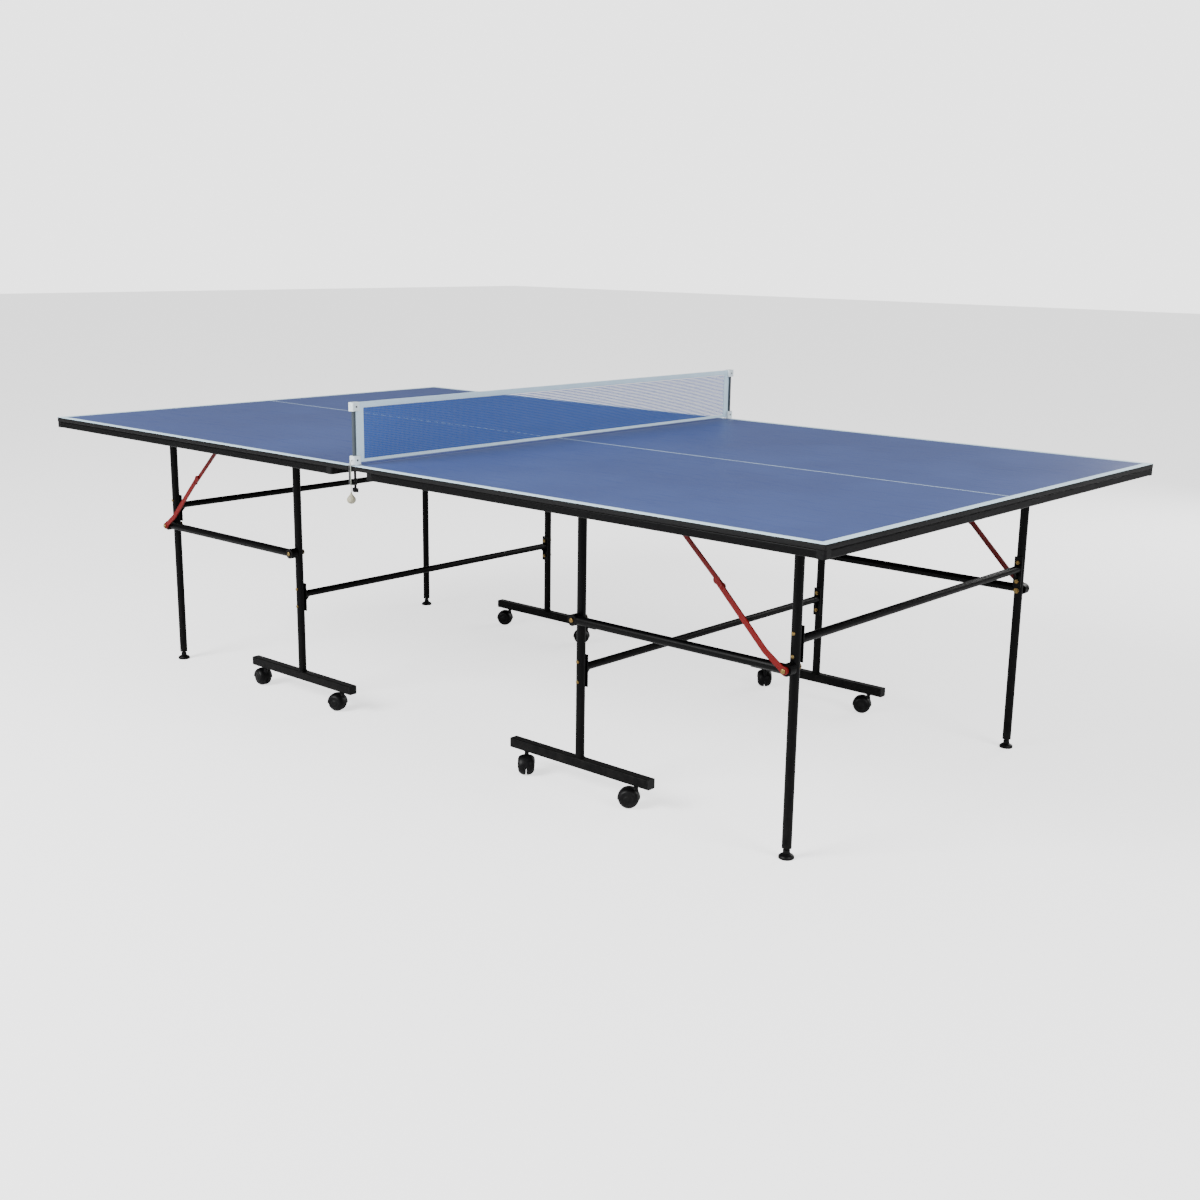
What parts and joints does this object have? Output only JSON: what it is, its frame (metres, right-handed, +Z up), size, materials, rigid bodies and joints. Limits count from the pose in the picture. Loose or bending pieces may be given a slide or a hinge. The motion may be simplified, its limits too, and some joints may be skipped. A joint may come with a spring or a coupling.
{
  "type": "ping pong table",
  "caption": "Folding ping pong table in two halves on casters, with tube legs, link bars, red folding struts, levelling feet and a clamped net.",
  "frame": {"origin": "centre of the object's box at floor level", "axes": "+X along the length towards the half with the net clamps, +Y across the table, +Z up"},
  "size_m": [2.74, 1.546, 0.9125],
  "materials": {
    "table_board": "satin blue painted board with white lines and a black edge",
    "frame_steel": "satin black powder coat",
    "red_steel": "satin red powder coat",
    "black_plastic": "moulded",
    "wheel_rubber": "matt",
    "zinc": "yellow zinc plate",
    "bright_steel": "zinc plate",
    "net_fabric": "fine blue net with white tape",
    "post_grey": "satin dark grey",
    "white_plastic": "moulded",
    "cord": "braided",
    "weight": "moulded"
  },
  "bodies": {
    "trestle_a": {"wheel_legs_a": "frame_steel", "foot_bars_a": "frame_steel", "foot_bar_caps_a": "black_plastic", "trestle_cross_bar_a": "frame_steel", "trestle_bolts_a": "zinc"},
    "top_a": {"tabletop_a": "table_board", "under_frame_a": "frame_steel", "frame_corners_a": "black_plastic", "pivot_brackets_a": "frame_steel", "pivot_bolts_a": "zinc", "net_panel": "net_fabric", "net_posts": "post_grey", "net_post_blocks": "white_plastic", "net_clamps": "bright_steel", "tension_cord": "cord", "tension_weight": "weight"},
    "screw_near": {"clamp_screw_near": "black_plastic"},
    "screw_far": {"clamp_screw_far": "black_plastic"},
    "end_frame_a": {"end_legs_a": "frame_steel", "end_cross_bar_a": "frame_steel", "end_leg_bolts_a": "zinc"},
    "links_a": {"link_bars_a": "frame_steel"},
    "upper_struts_a": {"strut_uppers_a": "red_steel"},
    "lower_struts_a": {"strut_lowers_a": "red_steel"},
    "foot_a1": {"levelling_foot_a1": "black_plastic"},
    "foot_a2": {"levelling_foot_a2": "black_plastic"},
    "caster_a1": {"caster_hood_a1": "black_plastic"},
    "wheels_a1": {"caster_wheels_a1": "wheel_rubber"},
    "caster_a2": {"caster_hood_a2": "black_plastic"},
    "wheels_a2": {"caster_wheels_a2": "wheel_rubber"},
    "caster_a3": {"caster_hood_a3": "black_plastic"},
    "wheels_a3": {"caster_wheels_a3": "wheel_rubber"},
    "caster_a4": {"caster_hood_a4": "black_plastic"},
    "wheels_a4": {"caster_wheels_a4": "wheel_rubber"},
    "trestle_b": {"wheel_legs_b": "frame_steel", "foot_bars_b": "frame_steel", "foot_bar_caps_b": "black_plastic", "trestle_cross_bar_b": "frame_steel", "trestle_bolts_b": "zinc"},
    "top_b": {"tabletop_b": "table_board", "under_frame_b": "frame_steel", "frame_corners_b": "black_plastic", "pivot_brackets_b": "frame_steel", "pivot_bolts_b": "zinc"},
    "end_frame_b": {"end_legs_b": "frame_steel", "end_cross_bar_b": "frame_steel", "end_leg_bolts_b": "zinc"},
    "links_b": {"link_bars_b": "frame_steel"},
    "upper_struts_b": {"strut_uppers_b": "red_steel"},
    "lower_struts_b": {"strut_lowers_b": "red_steel"},
    "foot_b1": {"levelling_foot_b1": "black_plastic"},
    "foot_b2": {"levelling_foot_b2": "black_plastic"},
    "caster_b1": {"caster_hood_b1": "black_plastic"},
    "wheels_b1": {"caster_wheels_b1": "wheel_rubber"},
    "caster_b2": {"caster_hood_b2": "black_plastic"},
    "wheels_b2": {"caster_wheels_b2": "wheel_rubber"},
    "caster_b3": {"caster_hood_b3": "black_plastic"},
    "wheels_b3": {"caster_wheels_b3": "wheel_rubber"},
    "caster_b4": {"caster_hood_b4": "black_plastic"},
    "wheels_b4": {"caster_wheels_b4": "wheel_rubber"}
  },
  "joints": [
    {"name": "fold_a", "type": "hinge", "parent": "trestle_a", "child": "top_a", "pos_m": [0.54, 0, 0.715], "axis": [0, -1, 0], "range_deg": [0, 85]},
    {"name": "link_swing_a", "type": "hinge", "parent": "trestle_a", "child": "links_a", "pos_m": [0.54, 0, 0.43], "axis": [0, -1, 0], "range_deg": [0, 85]},
    {"name": "end_frame_swing_a", "type": "hinge", "parent": "top_a", "child": "end_frame_a", "pos_m": [1.147, 0, 0.715], "axis": [0, -1, 0], "range_deg": [-85, 0]},
    {"name": "upper_strut_swing_a", "type": "hinge", "parent": "top_a", "child": "upper_struts_a", "pos_m": [0.83, 0, 0.72], "axis": [0, -1, 0], "range_deg": [-121, 0]},
    {"name": "lower_strut_swing_a", "type": "hinge", "parent": "links_a", "child": "lower_struts_a", "pos_m": [1.147, 0, 0.43], "axis": [0, -1, 0], "range_deg": [0, 52]},
    {"name": "foot_screw_a1", "type": "slide", "parent": "end_frame_a", "child": "foot_a1", "axis": [0, 0, -1], "range_m": [0, 0.01]},
    {"name": "foot_screw_a2", "type": "slide", "parent": "end_frame_a", "child": "foot_a2", "axis": [0, 0, -1], "range_m": [0, 0.01]},
    {"name": "swivel_a1", "type": "hinge", "parent": "trestle_a", "child": "caster_a1", "pos_m": [0.361, -0.511, 0.055], "axis": [0, 0, 1], "continuous": true},
    {"name": "roll_a1", "type": "hinge", "parent": "caster_a1", "child": "wheels_a1", "pos_m": [0.37215, -0.52383, 0.025], "axis": [0.7547, 0.6561, 0], "continuous": true},
    {"name": "swivel_a2", "type": "hinge", "parent": "trestle_a", "child": "caster_a2", "pos_m": [0.719, -0.511, 0.055], "axis": [0, 0, 1], "continuous": true},
    {"name": "roll_a2", "type": "hinge", "parent": "caster_a2", "child": "wheels_a2", "pos_m": [0.70428, -0.5195, 0.025], "axis": [0.5, -0.866, 0], "continuous": true},
    {"name": "swivel_a3", "type": "hinge", "parent": "trestle_a", "child": "caster_a3", "pos_m": [0.361, 0.511, 0.055], "axis": [0, 0, 1], "continuous": true},
    {"name": "roll_a3", "type": "hinge", "parent": "caster_a3", "child": "wheels_a3", "pos_m": [0.34985, 0.52383, 0.025], "axis": [-0.7547, -0.6561, 0], "continuous": true},
    {"name": "swivel_a4", "type": "hinge", "parent": "trestle_a", "child": "caster_a4", "pos_m": [0.719, 0.511, 0.055], "axis": [0, 0, 1], "continuous": true},
    {"name": "roll_a4", "type": "hinge", "parent": "caster_a4", "child": "wheels_a4", "pos_m": [0.70359, 0.50382, 0.025], "axis": [0.4226, -0.9063, 0], "continuous": true},
    {"name": "fold_b", "type": "hinge", "parent": "trestle_b", "child": "top_b", "pos_m": [-0.54, 0, 0.715], "axis": [0, 1, 0], "range_deg": [0, 85]},
    {"name": "link_swing_b", "type": "hinge", "parent": "trestle_b", "child": "links_b", "pos_m": [-0.54, 0, 0.43], "axis": [0, 1, 0], "range_deg": [0, 85]},
    {"name": "end_frame_swing_b", "type": "hinge", "parent": "top_b", "child": "end_frame_b", "pos_m": [-1.147, 0, 0.715], "axis": [0, 1, 0], "range_deg": [-85, 0]},
    {"name": "upper_strut_swing_b", "type": "hinge", "parent": "top_b", "child": "upper_struts_b", "pos_m": [-0.83, 0, 0.72], "axis": [0, 1, 0], "range_deg": [-121, 0]},
    {"name": "lower_strut_swing_b", "type": "hinge", "parent": "links_b", "child": "lower_struts_b", "pos_m": [-1.147, 0, 0.43], "axis": [0, 1, 0], "range_deg": [0, 52]},
    {"name": "foot_screw_b1", "type": "slide", "parent": "end_frame_b", "child": "foot_b1", "axis": [0, 0, -1], "range_m": [0, 0.01]},
    {"name": "foot_screw_b2", "type": "slide", "parent": "end_frame_b", "child": "foot_b2", "axis": [0, 0, -1], "range_m": [0, 0.01]},
    {"name": "swivel_b1", "type": "hinge", "parent": "trestle_b", "child": "caster_b1", "pos_m": [-0.361, -0.511, 0.055], "axis": [0, 0, 1], "continuous": true},
    {"name": "roll_b1", "type": "hinge", "parent": "caster_b1", "child": "wheels_b1", "pos_m": [-0.37698, -0.51681, 0.025], "axis": [0.342, -0.9397, 0], "continuous": true},
    {"name": "swivel_b2", "type": "hinge", "parent": "trestle_b", "child": "caster_b2", "pos_m": [-0.719, -0.511, 0.055], "axis": [0, 0, 1], "continuous": true},
    {"name": "roll_b2", "type": "hinge", "parent": "caster_b2", "child": "wheels_b2", "pos_m": [-0.73584, -0.50863, 0.025], "axis": [-0.1392, -0.9903, 0], "continuous": true},
    {"name": "swivel_b3", "type": "hinge", "parent": "trestle_b", "child": "caster_b3", "pos_m": [-0.361, 0.511, 0.055], "axis": [0, 0, 1], "continuous": true},
    {"name": "roll_b3", "type": "hinge", "parent": "caster_b3", "child": "wheels_b3", "pos_m": [-0.37641, 0.50382, 0.025], "axis": [0.4226, -0.9063, 0], "continuous": true},
    {"name": "swivel_b4", "type": "hinge", "parent": "trestle_b", "child": "caster_b4", "pos_m": [-0.719, 0.511, 0.055], "axis": [0, 0, 1], "continuous": true},
    {"name": "roll_b4", "type": "hinge", "parent": "caster_b4", "child": "wheels_b4", "pos_m": [-0.73401, 0.50302, 0.025], "axis": [0.4695, -0.8829, 0], "continuous": true},
    {"name": "halves_apart", "type": "slide", "parent": "trestle_a", "child": "trestle_b", "axis": [-1, 0, 0], "range_m": [0, 0.3]},
    {"name": "screw_turn_near", "type": "hinge", "parent": "top_a", "child": "screw_near", "pos_m": [0.0075, -0.748, 0.73], "axis": [0, 0, 1], "continuous": true},
    {"name": "screw_turn_far", "type": "hinge", "parent": "top_a", "child": "screw_far", "pos_m": [0.0075, 0.748, 0.73], "axis": [0, 0, 1], "continuous": true}
  ],
  "couplings": [
    {"joint": "link_swing_a", "follows": "fold_a", "ratio": 1},
    {"joint": "end_frame_swing_a", "follows": "fold_a", "ratio": -1},
    {"joint": "upper_strut_swing_a", "follows": "fold_a", "ratio": -1.4083},
    {"joint": "lower_strut_swing_a", "follows": "fold_a", "ratio": 0.5947},
    {"joint": "link_swing_b", "follows": "fold_b", "ratio": 1},
    {"joint": "end_frame_swing_b", "follows": "fold_b", "ratio": -1},
    {"joint": "upper_strut_swing_b", "follows": "fold_b", "ratio": -1.4083},
    {"joint": "lower_strut_swing_b", "follows": "fold_b", "ratio": 0.5947},
    {"joint": "halves_apart", "follows": "fold_a", "m_per_rad": 0.2}
  ]
}
